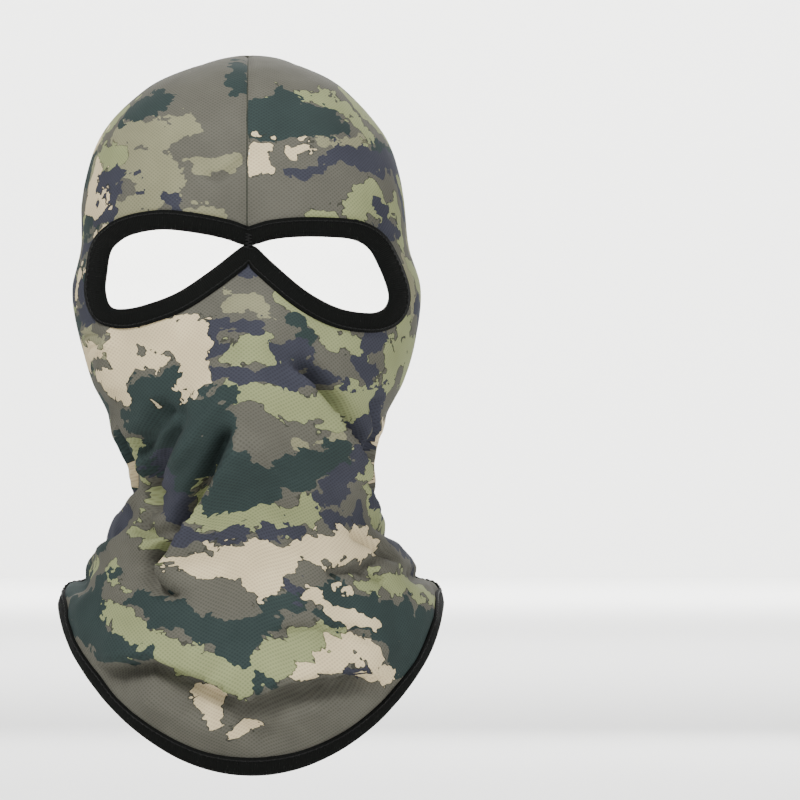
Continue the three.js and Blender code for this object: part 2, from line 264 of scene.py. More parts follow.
def hoodGrid():
    # Columns stand closer together across the face; rows are an even distance apart down the cloth.
    u = np.linspace(-1, 1, hood["columns"] + 1)
    angles = math.pi * (hood["faceShare"] * u + (1 - hood["faceShare"]) * u ** 3)
    fine = np.linspace(0, len(rings) - 1, 700)
    runs = []
    for angle in (0, math.pi / 2, math.pi):
        path = hoodPoint(np.full_like(fine, angle), fine)
        runs.append(np.concatenate([[0], np.cumsum(np.linalg.norm(np.diff(path, axis=0), axis=1))]))
    run = np.mean(runs, axis=0)
    rowRings = np.interp(np.linspace(0, run[-1], hood["rows"] + 1), run, fine)
    angle, ring = np.meshgrid(angles, rowRings)
    points = hoodPoint(angle, ring)
    # The very top is a shallow dome, not the cone that two rings alone would give.
    capLevel = -faceRings[1][0] * hood["faceDrop"]
    points[..., 2] = np.where(ring < 1, capLevel * ring ** 2, points[..., 2])
    points[..., 0] += atLevel(lean, points[..., 2]) + atLevel(spread, points[..., 2]) * np.sin(angle)
    points[0] = points[0].mean(axis=0)
    return angle, points


def gridNormals(points):
    # The first and last columns meet at the nape, so differences run across that join.
    ring = np.concatenate([points[:, -2:-1], points, points[:, 1:2]], axis=1)
    across = ring[:, 2:] - ring[:, :-2]
    down = np.gradient(points, axis=0)
    normal = np.cross(down, across)
    normal[0] = (0, 0, 1)
    size = np.linalg.norm(normal, axis=-1, keepdims=True)
    return normal / np.maximum(size, 1e-9)


# Where the face ends and the side begins, in degrees round from the nose, and millimetres per degree there.
wrap = {"sideStart": 75, "sideTurn": 60, "perDegree": 1.57, "blendFrom": 50, "blendOver": 22, "nape": 263}


def roundCoordinate(angle, points):
    # The sideways coordinate of the print and folds: x on the face, then distance round the head.
    turn = np.degrees(np.abs(angle))
    onSide = wrap["sideStart"] + (turn - wrap["sideTurn"]) * wrap["perDegree"]
    t = np.clip((turn - wrap["blendFrom"]) / wrap["blendOver"], 0, 1)
    blend = t * t * (3 - 2 * t)
    return points[..., 0] * (1 - blend) + np.sign(angle) * onSide * blend


def nearestOnLine(line, s, z):
    # How far outside a line's half width a place is, which side of it (1 or -1), and how far along it from
    # 0 to 1. A line of two-number points has no width. Side 1 is to the right of a line drawn downwards,
    # and above one drawn to the right.
    best = np.full(s.shape, 1e9)
    side = np.ones(s.shape)
    place = np.zeros(s.shape)
    total = len(line) - 1
    for i, (start, end) in enumerate(zip(line, line[1:])):
        ds, dz = end[0] - start[0], end[1] - start[1]
        t = np.clip(((s - start[0]) * ds + (z - start[1]) * dz) / (ds * ds + dz * dz), 0, 1)
        gapS, gapZ = s - start[0] - ds * t, z - start[1] - dz * t
        gap = np.hypot(gapS, gapZ)
        half = start[2] + (end[2] - start[2]) * t if len(start) > 2 else np.zeros(s.shape)
        closer = gap - half < best
        best = np.where(closer, gap - half, best)
        side = np.where(closer, np.sign(ds * (z - start[1]) - dz * (s - start[0])), side)
        place = np.where(closer, (i + t) / total, place)
    return best, side, place


# A roll is a soft ridge, or a valley where its height is negative: height, width, line.
rolls = [
    (-10, 5, [(-40, -172), (-50, -187), (-59, -202)]),
    (-11, 4.5, [(-30, -172), (-47, -202), (-57, -224)]),
    (4, 4, [(-21, -166), (-29, -177), (-43, -187)]),
    (4, 4, [(-10, -167), (-26, -187), (-38, -205)]),
    (-13, 7, [(-50, -214), (-54, -227)]),
    (5, 3.2, [(-60, -200), (-54, -212), (-46, -224)]),
    (-7, 3, [(-62, -230), (-50, -237), (-32, -234)]),
    (-7, 2.8, [(-46, -248), (-50, -259), (-44, -267), (-32, -270)]),
    (-7, 3, [(50, -236), (64, -243), (78, -250)]),
    (-6, 2.8, [(38, -258), (53, -256), (68, -249)]),
    (-5, 2.6, [(55, -257), (68, -262)]),
    (2.5, 1.8, [(-66, -137), (-83, -137)]),
    (2.5, 1.8, [(-66, -140), (-83, -144)]),
    (2.5, 1.8, [(-66, -143), (-78, -151)]),
    (4, 5, [(-68, -140), (-70, -155), (-68, -170)]),
    (-3, 2.2, [(-24, -60), (-15, -62), (-7, -57), (0, -51)]),
    (-5, 2.6, [(8, -289), (28, -286), (52, -287), (64, -293)]),
    (3, 7, [(-60, -318), (-30, -330), (0, -338)]),
    (3, 6, [(20, -330), (48, -320), (66, -308)]),
    (-4, 5, [(-35, -322), (-10, -334), (14, -337)]),
    (-5, 4, [(62, -170), (70, -185), (72, -200)]),
    (4, 5, [(75, -214), (110, -226), (170, -236), (263, -240)]),
    (-6, 4, [(85, -232), (130, -240), (200, -247), (263, -249)]),
    (3, 5, [(150, -252), (210, -257), (263, -258)]),
    (-6, 4, [(80, -262), (120, -256), (160, -262)]),
    (3, 6, [(95, -285), (125, -270), (150, -268)]),
    (4, 5, [(-75, -218), (-115, -228), (-180, -236), (-263, -240)]),
    (-6, 4, [(-80, -236), (-125, -241), (-190, -248), (-263, -249)]),
    (3, 5, [(-140, -254), (-205, -258), (-263, -258)]),
    (-6, 4, [(-84, -266), (-125, -258), (-165, -263)]),
]
# A lap is cloth that lies proud on one side of a line and turns under at it: proud height, depth of
# the shadow beside it, how far the proud side reaches, side (1 or -1), line.
laps = [
    (9, 11, 19, 1, [(-6, -184), (-12, -198), (-19, -212), (-27, -228), (-42, -250), (-49, -264)]),
    (7.5, 12, 16, -1, [(19, -150), (38, -172), (49, -187), (58, -203), (61, -217)]),
    (8, 9, 24, 1,
     [(-80, -304), (-62, -303), (-46, -301), (-24, -311), (-3, -322), (22, -313), (54, -308), (76, -310)]),
    (3, 9, 14, 1, [(66, -186), (78, -200), (105, -212), (160, -226), (263, -236)]),
    (3, 9, 14, 1, [(-263, -236), (-160, -226), (-105, -212), (-80, -198), (-68, -184)]),
]
crease = {"edge": 1.6, "shadowWidth": 5, "endShare": 0.16, "rollEndHeight": 0.25}
seamGroove = {"place": -0.7, "depth": 1.5, "width": 1.9, "bottom": -209, "brow": -90, "lineWidth": 0.45,
              "lineShade": 0.75, "pressPlace": -8.5, "pressHeight": 0.7, "pressWidth": 2.2,
              "pressTop": -250, "pressBottom": -345}
slackness = {"neck": 1.7, "head": 0.25, "scale": 34, "fine": 0.45, "fineScale": 12, "fineShift": 300,
             "flatten": 1.5, "fineFlatten": 1.6, "looseFrom": 165, "looseOver": 60}


def fadeAtEnds(place):
    t = np.clip(np.minimum(place, 1 - place) / crease["endShare"], 0, 1)
    return t * t * (3 - 2 * t)


def foldHeight(s, z):
    height = np.zeros(s.shape)
    for rise, width, line in rolls:
        gap, _, place = nearestOnLine(line, s, z)
        low = crease["rollEndHeight"]
        height += rise * np.exp(-(gap / width) ** 2) * (low + (1 - low) * fadeAtEnds(place))
    for rise, shadow, reach, proud, line in laps:
        gap, side, place = nearestOnLine(line, s, z)
        signed = gap * side * proud
        step = 0.5 * (1 + np.tanh(signed / crease["edge"]))
        rising = rise * step * np.exp(-(np.maximum(signed, 0) / reach) ** 2)
        falling = shadow * np.exp(-((signed + crease["edge"]) / crease["shadowWidth"]) ** 2)
        height += (rising - falling * (signed < crease["edge"])) * fadeAtEnds(place)
    inSeam = (z > seamGroove["bottom"]).astype(float)
    groove = np.exp(-((s - seamGroove["place"]) / seamGroove["width"]) ** 2)
    nape = np.exp(-((wrap["nape"] - np.abs(s)) / (2 * seamGroove["width"])) ** 2)
    height -= seamGroove["depth"] * inSeam * (groove * (z > seamGroove["brow"]) + nape)
    pressed = np.exp(-((s - seamGroove["pressPlace"]) / seamGroove["pressWidth"]) ** 2)
    pressed = pressed * ((z < seamGroove["pressTop"]) & (z > seamGroove["pressBottom"]))
    height += seamGroove["pressHeight"] * pressed
    return height


def slackHeight(points):
    # Loose cloth rolls more below the chin than it does where it is stretched over the head.
    out = np.zeros(points.shape[:2])
    for i, row in enumerate(points):
        for j, (x, y, z) in enumerate(row):
            loose = min(max((-z - slackness["looseFrom"]) / slackness["looseOver"], 0), 1)
            calm = slackness["head"] + (slackness["neck"] - slackness["head"]) * loose
            big = noise.noise(Vector((x, y, z * slackness["flatten"])) / slackness["scale"])
            aside = Vector((x + slackness["fineShift"], y, z * slackness["fineFlatten"]))
            small = noise.noise(aside / slackness["fineScale"])
            out[i, j] = calm * (big + slackness["fine"] * small)
    return out


angleGrid, smoothGrid = hoodGrid()
roundGrid = roundCoordinate(angleGrid, smoothGrid)
foldGrid = foldHeight(roundGrid, smoothGrid[..., 2]) + slackHeight(smoothGrid)
foldGrid[0] = foldGrid[0].mean()
foldGrid[:, -1] = foldGrid[:, 0]
normalGrid = gridNormals(smoothGrid)
# The hem binding lies on stretched cloth, so the folds die away over the last few rows.
fromHem = np.clip(np.arange(hood["rows"], -1, -1) / hood["hemRows"], 0.15, 1)[:, None]
clothGrid = smoothGrid + normalGrid * (foldGrid * fromHem)[..., None]
clothNormals = gridNormals(clothGrid)
print("hood: folds up to", round(float(np.abs(foldGrid).max()), 1), "mm")


# Each stroke is a run of (sideways, height, half width) points. Later colours lie over earlier ones.
strokes = {
    "khaki": [
        [(-64, -38, 7), (-44, -42, 9), (-30, -36, 6)], [(-60, -54, 9), (-40, -60, 9)],
        [(-50, -72, 8), (-66, -77, 5)], [(-22, -58, 4), (-8, -54, 4)], [(-30, -79, 4), (-16, -80, 4)],
        [(36, -43, 3), (60, -44, 3)], [(-76, -142, 6), (-70, -146, 6)], [(78, -106, 4), (80, -126, 4)],
        [(22, -196, 3), (40, -191, 3)], [(104, -94, 8), (132, -104, 5)], [(-8, -122, 5), (6, -128, 4)],
    ],
    "sage": [
        [(-77, -52, 6), (-65, -50, 6)], [(-86, -142, 3), (-80, -160, 3)],
        [(-64, -196, 5), (-61, -206, 6), (-60, -216, 4)],
        [(-64, -230, 3), (-52, -238, 4), (-41, -250, 4)],
        [(14, -21, 2), (34, -23, 3), (50, -27, 4), (59, -38, 4), (66, -46, 2)],
        [(30, -80, 3), (40, -80, 4)], [(52, -77, 7), (60, -68, 6), (64, -78, 4)],
        [(74, -74, 3), (78, -92, 4)], [(-9, -150, 4), (4, -146, 8), (15, -153, 4)],
        [(16, -121, 3), (26, -129, 4), (37, -138, 4), (50, -142, 5), (57, -149, 5)],
        [(75, -134, 4), (76, -150, 6), (70, -160, 5), (70, -168, 2)],
        [(-6, -166, 5), (10, -170, 6), (28, -177, 7), (46, -173, 9), (62, -173, 8)],
        [(34, -182, 4), (52, -184, 3)], [(51, -190, 4), (56, -202, 6), (58, -212, 4)],
        [(34, -202, 2), (41, -203, 2)], [(-28, -211, 3), (-21, -210, 3)],
        [(-23, -225, 7), (-10, -231, 6), (5, -229, 6), (20, -231, 6), (30, -226, 6), (33, -234, 3)],
        [(-67, -278, 6), (-55, -287, 7), (-40, -295, 8), (-22, -303, 8), (-4, -310, 8),
         (14, -301, 10), (28, -294, 10), (40, -289, 7)], [(-68, -257, 4), (-64, -264, 3)],
        [(56, -264, 3), (72, -262, 6), (86, -266, 6), (90, -273, 4)],
        [(78, -24, 10), (100, -30, 11), (130, -38, 11), (165, -48, 11), (200, -56, 10)],
        [(95, -66, 5), (118, -78, 10), (142, -95, 13), (157, -108, 7)],
        [(82, -106, 4), (104, -115, 9), (122, -122, 6)], [(84, -146, 4), (98, -154, 12), (112, -162, 10)],
        [(50, -197, 3), (90, -224, 5), (140, -234, 5), (210, -240, 5)], [(180, -250, 5), (255, -248, 6)],
        [(96, -280, 9), (150, -284, 12), (210, -284, 8)], [(216, -140, 8), (244, -146, 10)],
        [(-84, -30, 8), (-120, -38, 10), (-160, -44, 8)],
        [(-92, -118, 8), (-122, -126, 11), (-146, -120, 6)],
        [(-100, -180, 9), (-140, -186, 10), (-166, -194, 6)], [(-190, -88, 9), (-228, -94, 10)],
        [(-90, -284, 6), (-130, -290, 9), (-180, -282, 10)], [(-200, -158, 8), (-244, -166, 9)],
        [(-210, -214, 7), (-250, -220, 6)],
    ],
    "green": [
        [(-5, -7, 4), (-4, -15, 5)], [(-66, -31, 5), (-52, -24, 6), (-42, -25, 4)],
        [(5, -32, 12), (20, -33, 13), (38, -34, 7), (48, -38, 3)], [(-78, -82, 4), (-84, -90, 4)],
        [(-56, -164, 4), (-40, -163, 6), (-20, -167, 4), (-8, -170, 2)],
        [(-48, -176, 14), (-45, -194, 15), (-38, -214, 12)], [(-20, -180, 11), (-12, -200, 9)],
        [(22, -133, 4), (28, -142, 4), (23, -149, 3)],
        [(-7, -206, 12), (8, -213, 11), (24, -208, 9), (40, -199, 7)], [(-14, -220, 6), (10, -219, 5)],
        [(-53, -272, 5), (-40, -277, 7), (-22, -285, 8), (-5, -292, 9), (6, -285, 6), (17, -280, 3)],
        [(-80, -272, 8), (-76, -287, 8), (-66, -296, 7), (-48, -300, 3)],
        [(-72, -262, 5), (-64, -259, 2)],
        [(36, -275, 6), (50, -278, 9), (70, -282, 11), (84, -288, 9), (76, -303, 8)],
        [(-68, -108, 2), (-79, -112, 3)], [(-36, -170, 8), (-28, -188, 9), (-23, -206, 7)],
        [(8, -276, 4), (24, -272, 4), (42, -266, 5)],
        [(60, -50, 4), (90, -50, 5), (118, -53, 8), (143, -66, 12), (170, -76, 13), (208, -78, 14)],
        [(95, -306, 8), (150, -302, 9), (200, -268, 5)], [(-2, -312, 2), (10, -310, 3)],
        [(222, -108, 8), (250, -112, 8)], [(176, -128, 8), (206, -132, 7)],
        [(-94, -58, 8), (-126, -66, 11), (-160, -74, 8)], [(-170, -120, 10), (-210, -126, 11)],
        [(-84, -150, 7), (-112, -156, 9)], [(-100, -262, 7), (-150, -268, 8)],
        [(-214, -50, 9), (-252, -56, 8)], [(-190, -240, 8), (-256, -244, 8)],
        [(-88, -206, 7), (-126, -212, 7)],
    ],
    "navy": [
        [(-70, -63, 5), (-60, -60, 4), (-54, -64, 2)], [(-70, -68, 6), (-71, -82, 5)],
        [(17, -60, 1), (34, -57, 3), (46, -50, 5), (60, -52, 6), (74, -54, 5)],
        [(64, -74, 3), (70, -90, 4)], [(-40, -73, 2), (-34, -77, 2)], [(-86, -98, 4), (-79, -96, 3)],
        [(-78, -118, 4), (-80, -132, 3)], [(-3, -109, 4), (3, -107, 3)],
        [(-18, -136, 3), (0, -135, 3), (6, -136, 2)], [(-18, -146, 4), (-9, -145, 3)],
        [(-14, -158, 4), (5, -160, 5), (25, -160, 5), (40, -161, 4), (48, -164, 2)],
        [(17, -146, 5), (24, -145, 6), (28, -155, 6)], [(62, -142, 6), (56, -152, 4), (61, -163, 3)],
        # The first run on this line and the first on the next are navy laid where the right side of the neck
        # falls in shade beside its fold ridge: painted shadow, not print.
        [(60, -184, 5), (62, -198, 3)], [(-47, -206, 6), (-40, -222, 8), (-33, -233, 5)],
        [(68, -172, 4), (73, -186, 6), (75, -200, 5)], [(41, -218, 7), (47, -205, 5), (50, -197, 3)],
        [(41, -232, 4), (60, -229, 4)],
        [(-31, -236, 5), (-16, -239, 3), (2, -236, 2), (16, -239, 5), (28, -238, 3)],
        [(46, -307, 2), (62, -307, 3)], [(18, -262, 3), (26, -268, 4)],
        [(72, -50, 5), (100, -54, 6), (130, -60, 4)], [(88, -62, 4), (96, -79, 5)],
        [(88, -123, 5), (110, -132, 8), (135, -126, 11), (156, -136, 13), (148, -147, 6)],
        [(86, -219, 4), (130, -227, 4), (190, -232, 3)], [(122, -150, 4), (152, -158, 4), (150, -178, 4)],
        [(96, -244, 6), (130, -248, 7), (170, -242, 4)], [(210, -180, 7), (250, -188, 8)],
        [(-100, -84, 6), (-132, -92, 8), (-168, -98, 5)], [(-184, -158, 7), (-160, -150, 8)],
        [(-216, -190, 7), (-254, -196, 7)], [(-92, -232, 5), (-140, -236, 6)],
        [(-196, -60, 5), (-180, -30, 6)], [(-234, -120, 6), (-262, -124, 6)],
    ],
    "cream": [
        [(-78, -58, 5), (-78, -74, 6)], [(-71, -86, 2), (-72, -94, 2)], [(3, -46, 4), (12, -46, 3)],
        [(3, -55, 5), (10, -58, 3)], [(19, -47, 2), (24, -49, 3), (29, -46, 2)],
        [(-83, -106, 3), (-86, -120, 3)], [(-61, -142, 7), (-45, -141, 9), (-27, -139, 9)],
        [(-28, -150, 9), (-25, -160, 5), (-32, -171, 3)], [(-62, -152, 6), (-42, -153, 4)],
        [(-66, -160, 4), (-61, -171, 3)], [(-47, -171, 1), (-45, -173, 1)],
        [(-36, -253, 4), (-25, -253, 6), (-8, -250, 10), (8, -255, 11), (22, -248, 6),
         (38, -245, 7), (56, -246, 6)], [(2, -263, 6), (6, -270, 3)],
        [(46, -240, 5), (60, -241, 6), (68, -247, 3)], [(29, -267, 2), (33, -268, 2)],
        [(42, -265, 3), (47, -267, 2)], [(-27, -315, 3), (-18, -322, 6), (-18, -333, 4)],
        [(-10, -337, 2), (4, -335, 2)], [(40, -278, 3), (52, -279, 4), (60, -284, 2)],
        [(40, -293, 4), (52, -294, 6), (62, -303, 5), (68, -311, 3)],
        [(20, -308, 3), (36, -303, 5), (52, -301, 4)], [(172, -92, 4), (206, -96, 5)],
        [(128, -160, 5), (141, -168, 8)],
        [(84, -190, 6), (105, -196, 12), (135, -201, 14), (150, -209, 6)],
        [(-110, -104, 5), (-140, -108, 6)], [(-176, -202, 7), (-206, -208, 6)],
        [(-120, -148, 4), (-146, -152, 5)], [(-224, -72, 5), (-250, -78, 5)],
        [(224, -160, 5), (252, -164, 5)], [(180, -204, 7), (214, -210, 7)],
        [(230, -60, 4), (256, -56, 5)], [(-110, -300, 4), (-140, -296, 5)],
    ],
}


backPrint = {
    "seed": 11, "sideStep": 31, "downStep": 20,
    "shares": {"khaki": 0.14, "sage": 0.3, "green": 0.27, "navy": 0.18, "cream": 0.11},
}


def scatterBackPrint():
    # Behind the ears the same blotches lie closer together, each a short sideways sweep.
    draw = np.random.default_rng(backPrint["seed"])
    names = list(backPrint["shares"])
    places = [*range(-260, -100, backPrint["sideStep"]), *range(182, 262, backPrint["sideStep"])]
    for place in places:
        for level in range(-16, -262, -backPrint["downStep"]):
            name = names[draw.choice(len(names), p=list(backPrint["shares"].values()))]
            s, z = place + draw.uniform(-11, 11), level + draw.uniform(-7, 7)
            reach, drift, wide = draw.uniform(12, 27), draw.uniform(-8, 8), draw.uniform(5, 10)
            bend = draw.uniform(-6, 6)
            tail, head = (s - reach, z - drift, wide * 0.5), (s + reach, z + drift, wide * 0.6)
            strokes[name].append([tail, (s, z + bend, wide), head])


scatterBackPrint()


def inkDistance(runs, s, z):
    # Millimetres to the edge of the nearest stroke, negative inside it. The two halves of the forehead
    # were cut from different places in the print, so a stroke there stops at the crown seam.
    reach = 12
    nearest = np.full(s.shape, float(reach))
    for run in runs:
        sideOfRun = np.sign(np.mean([point[0] for point in run]) - seamGroove["place"])
        other = (z > seamGroove["brow"]) & (np.sign(s - seamGroove["place"]) != sideOfRun)
        nearest = np.minimum(nearest, np.where(other, reach, nearestOnLine(run, s, z)[0]))
    return np.maximum(nearest, -reach)


def gridPiece(points):
    # A bmesh grid shaped to rows of points; its doubled seam columns and rows are left for the caller to
    # merge.
    rowCount, columnCount = points.shape[:2]
    bm = bmesh.new()
    bmesh.ops.create_grid(bm, x_segments=columnCount - 1, y_segments=rowCount - 1, size=1)
    for vert in bm.verts:
        column = round((vert.co.x + 1) / 2 * (columnCount - 1))
        row = round((1 - vert.co.y) / 2 * (rowCount - 1))
        vert.co = Vector(points[row, column]) * mm
    return bm


def addPiece(name, bm, material, node, merge=0.00002):
    if merge:
        bmesh.ops.remove_doubles(bm, verts=bm.verts, dist=merge)
        bmesh.ops.recalc_face_normals(bm, faces=bm.faces)
    mesh = bpy.data.meshes.new(name)
    bm.to_mesh(mesh)
    bm.free()
    for item in material if isinstance(material, list) else [material]:
        mesh.materials.append(item)
    for polygon in mesh.polygons:
        polygon.use_smooth = True
    obj = bpy.data.objects.new(name, mesh)
    bpy.context.scene.collection.objects.link(obj)
    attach(obj, "root")
    if node:
        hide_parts(node)
    return obj


# The folded edge of the eye binding as it is seen from the front, round both holes: x and height.
# The upper and lower folds meet over the bridge of the nose.
eyeFold = [
    (-71, -108), (-69.5, -99), (-66, -94), (-58, -89.5), (-43, -87), (-27, -88.5), (-12, -91.5),
    (-4, -94.3), (0, -95.1), (4, -94.3), (12, -92), (24, -90.7), (38, -90.7), (52, -92), (60, -96.5),
    (65, -105), (69, -115), (70, -122), (67, -127.5), (59, -129.5), (44, -127), (28, -118.5), (12, -105),
    (4, -97.3), (0, -95.9), (-4, -97.3), (-19, -109), (-35, -119.5), (-51, -125.5), (-62, -127.5),
    (-69, -126), (-71.8, -118),
]
binding = {"eyeWidth": 9.2, "hemWidth": 9.6, "stations": 300, "thickness": 0.75, "puff": 0.35, "gap": 0.15,
           "widthSteps": 6, "hemSearchRows": 20}
stitches = {"inset": 1.5, "pitch": 3.0, "radius": 0.32, "sink": 0.45}


def closedCurve(points, count):
    # An even run of stations round a smooth closed curve.
    ring = np.array(points, float)
    n = len(ring)
    t = np.linspace(0, n, 4000, endpoint=False)
    i = np.floor(t).astype(int)
    f = (t - i)[:, None]
    fine = smoothBetween([ring[(i + k) % n] for k in (-1, 0, 1, 2)], f)
    closed = np.vstack([fine, fine[:1]])
    run = np.concatenate([[0], np.cumsum(np.linalg.norm(np.diff(closed, axis=0), axis=1))])
    even = np.linspace(0, run[-1], count, endpoint=False)
    return np.stack([np.interp(even, run, closed[:, k]) for k in range(closed.shape[1])], -1)


eyeLoop = closedCurve(eyeFold, binding["stations"])


def eyeLean(loop):
    # Which way the cloth lies from each station, evened out, and kept from crossing in the nose notch.
    ahead = np.roll(loop, -2, axis=0) - np.roll(loop, 2, axis=0)
    out = np.stack([-ahead[:, 1], ahead[:, 0]], -1)
    out /= np.linalg.norm(out, axis=1, keepdims=True)
    out = sum(np.roll(out, k, axis=0) for k in range(-5, 6))
    out /= np.linalg.norm(out, axis=1, keepdims=True)
    inNotch = (np.abs(loop[:, 0]) < 10) & (loop[:, 1] < -95.5)
    most = np.maximum(np.abs(loop[:, 0]) * 0.85 / binding["eyeWidth"], 0.001)
    out[:, 0] = np.where(inNotch, np.clip(out[:, 0], -most, most), out[:, 0])
    return out / np.linalg.norm(out, axis=1, keepdims=True)


eyeOut = eyeLean(eyeLoop)


def distanceToLoop(loop, x, z):
    # Signed distance to a closed outline, negative inside it.
    closest = np.full(x.shape, 1e9)
    inside = np.zeros(x.shape, bool)
    for a, b in zip(loop, np.roll(loop, -1, axis=0)):
        dx, dz = b - a
        t = np.clip(((x - a[0]) * dx + (z - a[1]) * dz) / (dx * dx + dz * dz), 0, 1)
        closest = np.minimum(closest, np.hypot(x - a[0] - dx * t, z - a[1] - dz * t))
        crosses = (a[1] > z) != (b[1] > z)
        with np.errstate(divide="ignore", invalid="ignore"):
            inside ^= crosses & (x < dx * (z - a[1]) / (dz if dz else 1e-9) + a[0])
    return np.where(inside, -closest, closest)


ink = {
    "taupe": "494841", "khaki": "6b6a54", "sage": "707554", "green": "262f2e", "navy": "2e2f37",
    "cream": "ad9f80", "rim": "23251f", "inside": "fafaf8",
}
# How far each colour's edge wanders, in millimetres: broad tongues, then torn fringes along the courses.
fringe = {"broad": 8.0, "broadSize": 14, "torn": 3.6, "tornWide": 6.5, "tornHigh": 5, "rimWidth": 0.7,
          "rimShade": 0.6}
# The real cells are about 1 mm apart, too fine to show, so they are drawn 1.75 mm apart.
# Shade is how much darker each cell's hole is painted: painted shade.
knit = {"cell": 1.75, "squeeze": 1.25, "depth": 0.35, "shade": 0.22, "cloud": 24}


def clothCoordinates(tree, scale, turn=0.0, shift=0.0):
    # The cloth's own coordinates in millimetres, scaled to the pattern's own unit.
    cloth = addNode(tree, "ShaderNodeAttribute", attribute_name="clothPlace")
    return addNode(tree, "ShaderNodeMapping", {
        "Vector": cloth.outputs["Vector"], "Location": (shift, shift * 0.7, 0), "Rotation": (0, 0, turn),
        "Scale": (*scale, 1)}).outputs["Vector"]


def knitCells(tree):
    # Even rows of cells on the slant, the same on both faces of the cloth.
    place = clothCoordinates(tree, (1 / knit["cell"], knit["squeeze"] / knit["cell"]), turn=math.pi / 4)
    return addNode(tree, "ShaderNodeTexVoronoi", {"Vector": place, "Scale": 1.0, "Randomness": 0.0},
                   voronoi_dimensions="2D").outputs["Distance"]


def shaded(tree, colour, shade):
    # The colour with its brightness scaled by a shade of about 1.
    grey = addNode(tree, "ShaderNodeCombineColor", {"Red": shade, "Green": shade, "Blue": shade})
    return addNode(tree, "ShaderNodeMix", {0: 1.0, 6: colour, 7: grey.outputs["Color"]},
                   data_type="RGBA", blend_type="MULTIPLY").outputs[2]


def laidInk(tree, colour, name, shift):
    # One ink over the colours already there. Noise averages a half, so the two reaches, doubled and added
    # to the distance from the stroke, cross their plain sum where the ink ends.
    edge = addNode(tree, "ShaderNodeAttribute", attribute_name=name + "Ink").outputs["Fac"]
    broad = addNode(tree, "ShaderNodeTexNoise", {
        "Vector": clothCoordinates(tree, (1 / fringe["broadSize"], 1.5 / fringe["broadSize"]), shift=shift),
        "Scale": 1.0, "Detail": 2.0}, noise_dimensions="2D").outputs["Fac"]
    torn = addNode(tree, "ShaderNodeTexNoise", {
        "Vector": clothCoordinates(tree, (1 / fringe["tornWide"], 1 / fringe["tornHigh"]), shift=shift + 9),
        "Scale": 1.0, "Detail": 2.0, "Roughness": 0.5, "Distortion": 0.6},
        noise_dimensions="2D").outputs["Fac"]
    tongues = addNode(tree, "ShaderNodeMath", {0: broad, 1: 2 * fringe["broad"], 2: edge},
                      operation="MULTIPLY_ADD").outputs[0]
    border = addNode(tree, "ShaderNodeMath", {0: torn, 1: 2 * fringe["torn"], 2: tongues},
                     operation="MULTIPLY_ADD").outputs[0]
    limit = fringe["broad"] + fringe["torn"]
    if name in ("sage", "cream"):
        # The pale inks are printed with a thin dark outline.
        rim = addNode(tree, "ShaderNodeMath", {0: border, 1: limit + fringe["rimWidth"]},
                      operation="LESS_THAN").outputs[0]
        rimShade = addNode(tree, "ShaderNodeMath", {0: rim, 1: fringe["rimShade"]}, operation="MULTIPLY")
        colour = addNode(tree, "ShaderNodeMix", {0: rimShade.outputs[0], 6: colour, 7: toLinear(ink["rim"])},
                         data_type="RGBA").outputs[2]
    inked = addNode(tree, "ShaderNodeMath", {0: border, 1: limit}, operation="LESS_THAN").outputs[0]
    return addNode(tree, "ShaderNodeMix", {0: inked, 6: colour, 7: toLinear(ink[name])},
                   data_type="RGBA").outputs[2]


def dryFinish(tree, colour, relief, strength, depth, roughness, gloss):
    # Textile fibres scatter nearly all the light they send back, so each one differs only in its gloss.
    bump = addNode(tree, "ShaderNodeBump", {"Height": relief, "Strength": strength, "Distance": depth * mm})
    shader = addNode(tree, "ShaderNodeBsdfPrincipled", {
        "Base Color": colour, "Roughness": roughness, "Specular IOR Level": gloss,
        "Normal": bump.outputs["Normal"]})
    addNode(tree, "ShaderNodeOutputMaterial", {"Surface": shader.outputs["BSDF"]})


def printedKnit():
    # Polyester bird's-eye knit, transfer printed: dry and matt, with small slanting holes in even rows,
    # shown as dips with painted shade in them, and hard-edged blotches whose fringes tear along the courses.
    material, tree = newMaterial("printed_birdseye_polyester_knit")
    colour = toLinear(ink["taupe"])
    for order, name in enumerate(strokes):
        colour = laidInk(tree, colour, name, 31.0 * (order + 1))
    seam = addNode(tree, "ShaderNodeAttribute", attribute_name="seamSide").outputs["Fac"]
    fromSeam = addNode(tree, "ShaderNodeMath", {0: seam}, operation="ABSOLUTE").outputs[0]
    onSeam = addNode(tree, "ShaderNodeMath", {0: fromSeam, 1: seamGroove["lineWidth"]},
                     operation="LESS_THAN").outputs[0]
    seamShade = addNode(tree, "ShaderNodeMath", {0: onSeam, 1: seamGroove["lineShade"]},
                        operation="MULTIPLY").outputs[0]
    colour = addNode(tree, "ShaderNodeMix", {0: seamShade, 6: colour, 7: toLinear(ink["rim"])},
                     data_type="RGBA").outputs[2]
    cloudy = addNode(tree, "ShaderNodeTexNoise", {
        "Vector": clothCoordinates(tree, (1 / knit["cloud"], 1 / knit["cloud"])), "Scale": 1.0,
        "Detail": 4.0}).outputs["Fac"]
    cloudShade = addNode(tree, "ShaderNodeMapRange", {
        "Value": cloudy, "From Min": 0.3, "From Max": 0.7, "To Min": 0.9, "To Max": 1.08}).outputs["Result"]
    # Each cell's hole is painted darker than the yarn round it, as painted shade, and also dips in the bump.
    hole = addNode(tree, "ShaderNodeMapRange", {
        "Value": knitCells(tree), "From Min": 0.12, "From Max": 0.5, "To Min": 1 - knit["shade"],
        "To Max": 1.05}, interpolation_type="SMOOTHSTEP").outputs["Result"]
    shade = addNode(tree, "ShaderNodeMath", {0: cloudShade, 1: hole}, operation="MULTIPLY").outputs[0]
    colour = shaded(tree, colour, shade)
    dryFinish(tree, colour, hole, 0.5, knit["depth"], 0.92, 0.08)
    return material


